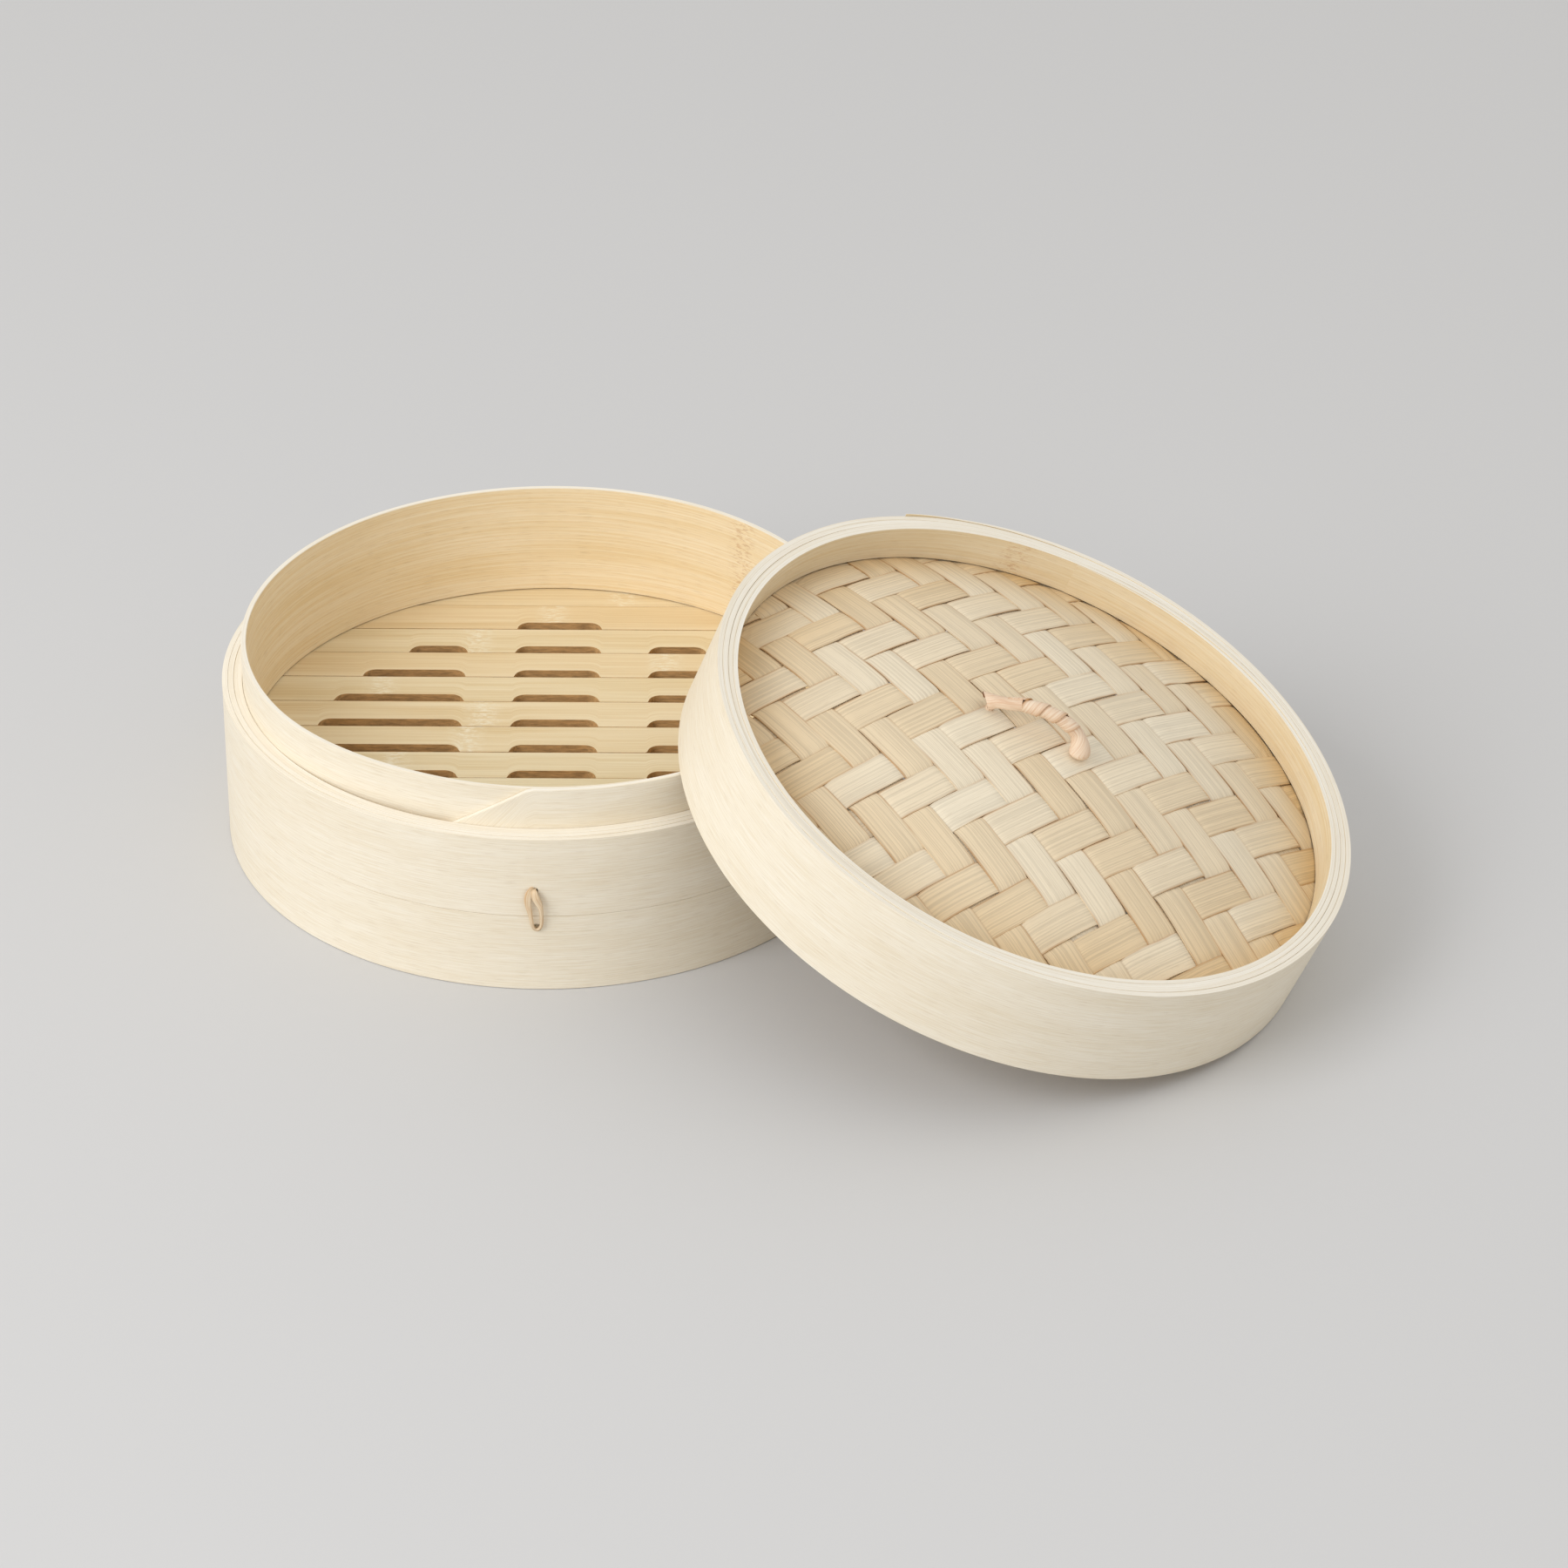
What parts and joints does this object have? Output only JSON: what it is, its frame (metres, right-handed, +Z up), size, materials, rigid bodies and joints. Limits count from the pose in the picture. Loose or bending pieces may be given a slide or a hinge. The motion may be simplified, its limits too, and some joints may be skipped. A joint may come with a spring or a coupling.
{
  "type": "bamboo steamer",
  "caption": "Round bamboo steamer: a basket of rolled hoops with a slatted floor, and its twill-woven domed lid with a cane handle, taken off and leant on the rim.",
  "frame": {"origin": "middle of the footprint of basket and leaning lid, on the table that both stand on", "axes": "+X to the right almost along the floor slats, towards the side where the lid leans; +Y back, across the slats; +Z up, along the basket's axis"},
  "size_m": [0.3592, 0.2828, 0.1104],
  "materials": {
    "pale_bamboo": "bare split bamboo, satin",
    "honey_bamboo": "bare bamboo, inner face, satin",
    "slat_bamboo": "planed bamboo, matt",
    "strip_bamboo_pale": "split bamboo strip, pale, matt",
    "strip_bamboo_tan": "split bamboo strip, tan, matt",
    "strip_bamboo_rose": "split bamboo strip, rosy, matt",
    "cane": "split cane, satin"
  },
  "bodies": {
    "base": {"base_lower_band": "pale_bamboo", "base_upper_band": "pale_bamboo", "base_inner_hoop": "honey_bamboo", "base_floor_ring": "honey_bamboo", "floor_slat_01": "slat_bamboo", "floor_slat_02": "slat_bamboo", "floor_slat_03": "slat_bamboo", "floor_slat_04": "slat_bamboo", "floor_slat_05": "slat_bamboo", "floor_slat_06": "slat_bamboo", "floor_slat_07": "slat_bamboo", "floor_slat_08": "slat_bamboo", "floor_slat_09": "slat_bamboo", "floor_slat_10": "slat_bamboo", "floor_slat_11": "slat_bamboo", "floor_slat_12": "slat_bamboo", "floor_crossbar_left": "slat_bamboo", "floor_crossbar_right": "slat_bamboo", "wall_tie_01": "cane", "wall_tie_02": "cane"},
    "lid": {"lid_outer_hoop": "pale_bamboo", "lid_upper_inner_hoop": "honey_bamboo", "lid_lower_inner_hoop": "honey_bamboo", "lid_weft_01": "strip_bamboo_pale", "lid_weft_02": "strip_bamboo_tan", "lid_weft_03": "strip_bamboo_rose", "lid_weft_04": "strip_bamboo_pale", "lid_weft_05": "strip_bamboo_tan", "lid_weft_06": "strip_bamboo_rose", "lid_weft_07": "strip_bamboo_pale", "lid_weft_08": "strip_bamboo_tan", "lid_weft_09": "strip_bamboo_rose", "lid_weft_10": "strip_bamboo_pale", "lid_weft_11": "strip_bamboo_tan", "lid_weft_12": "strip_bamboo_rose", "lid_weft_13": "strip_bamboo_pale", "lid_weft_14": "strip_bamboo_tan", "lid_weft_15": "strip_bamboo_rose", "lid_weft_16": "strip_bamboo_pale", "lid_warp_01": "strip_bamboo_tan", "lid_warp_02": "strip_bamboo_rose", "lid_warp_03": "strip_bamboo_pale", "lid_warp_04": "strip_bamboo_tan", "lid_warp_05": "strip_bamboo_rose", "lid_warp_06": "strip_bamboo_pale", "lid_warp_07": "strip_bamboo_tan", "lid_warp_08": "strip_bamboo_rose", "lid_warp_09": "strip_bamboo_pale", "lid_warp_10": "strip_bamboo_tan", "lid_warp_11": "strip_bamboo_rose", "lid_warp_12": "strip_bamboo_pale", "lid_warp_13": "strip_bamboo_tan", "lid_warp_14": "strip_bamboo_rose", "lid_warp_15": "strip_bamboo_pale", "lid_warp_16": "strip_bamboo_tan", "lid_warp_17": "strip_bamboo_rose", "handle_core": "cane", "handle_wrap": "cane"}
  },
  "joints": [
    {"name": "lid_lift", "type": "slide", "parent": "base", "child": "lid", "axis": [0, 0, 1], "range_m": [0, 0.15]}
  ]
}
